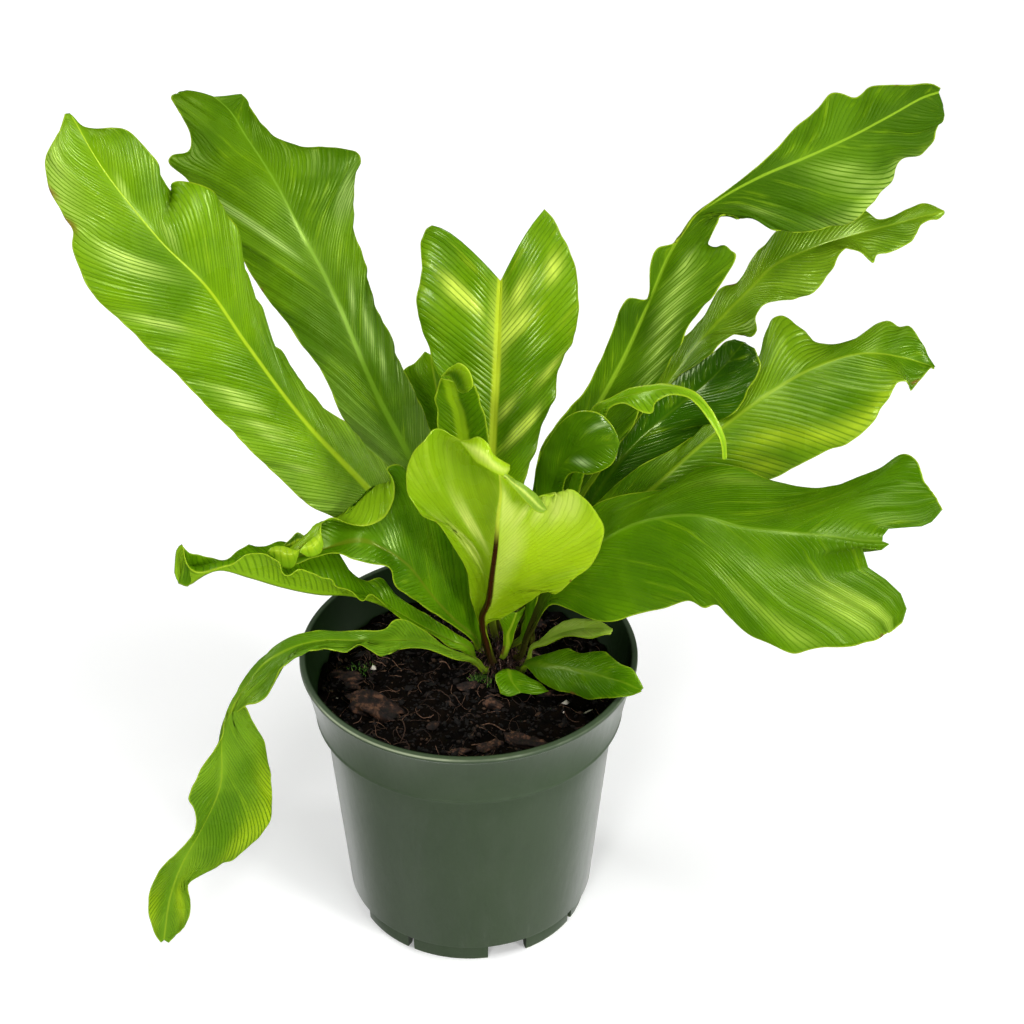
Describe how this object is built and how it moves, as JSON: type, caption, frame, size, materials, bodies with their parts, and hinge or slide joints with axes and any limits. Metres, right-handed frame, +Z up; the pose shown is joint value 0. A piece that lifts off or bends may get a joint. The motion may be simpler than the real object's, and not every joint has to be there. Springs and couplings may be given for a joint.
{
  "type": "potted bird's nest fern",
  "caption": "Bird's nest fern: wavy strap fronds rising from a central crown, set in soil in a round tapered nursery pot with a banded rim.",
  "frame": {"origin": "on the pot's axis, in the middle of the pad under its floor that touches the ground", "axes": "+Z up; -Y towards the viewer of the picture, +X to the viewer's right"},
  "size_m": [0.3847, 0.2084, 0.4182],
  "materials": {
    "pot": "satin, lightly scuffed",
    "soil": "matt, damp peat and bark",
    "crown": "matt, fibrous scales",
    "frond": "glossy leaf"
  },
  "bodies": {
    "root": {"pot": "pot", "soil": "soil", "crown": "crown", "frond_left_front_tall": "frond", "frond_left_back_tall": "frond", "frond_centre_forked": "frond", "frond_back_dark": "frond", "frond_centre_curled": "frond", "frond_front_young": "frond", "frond_left_ruffled": "frond", "frond_left_low": "frond", "frond_left_drooping": "frond", "frond_right_tall": "frond", "frond_right_back": "frond", "frond_right_mid": "frond", "frond_right_front_large": "frond", "frond_right_rolled": "frond", "frond_right_arched": "frond", "frond_right_glossy": "frond", "frond_front_small": "frond", "frond_right_front_small": "frond", "frond_right_small": "frond", "frond_front_strip": "frond"}
  },
  "joints": []
}
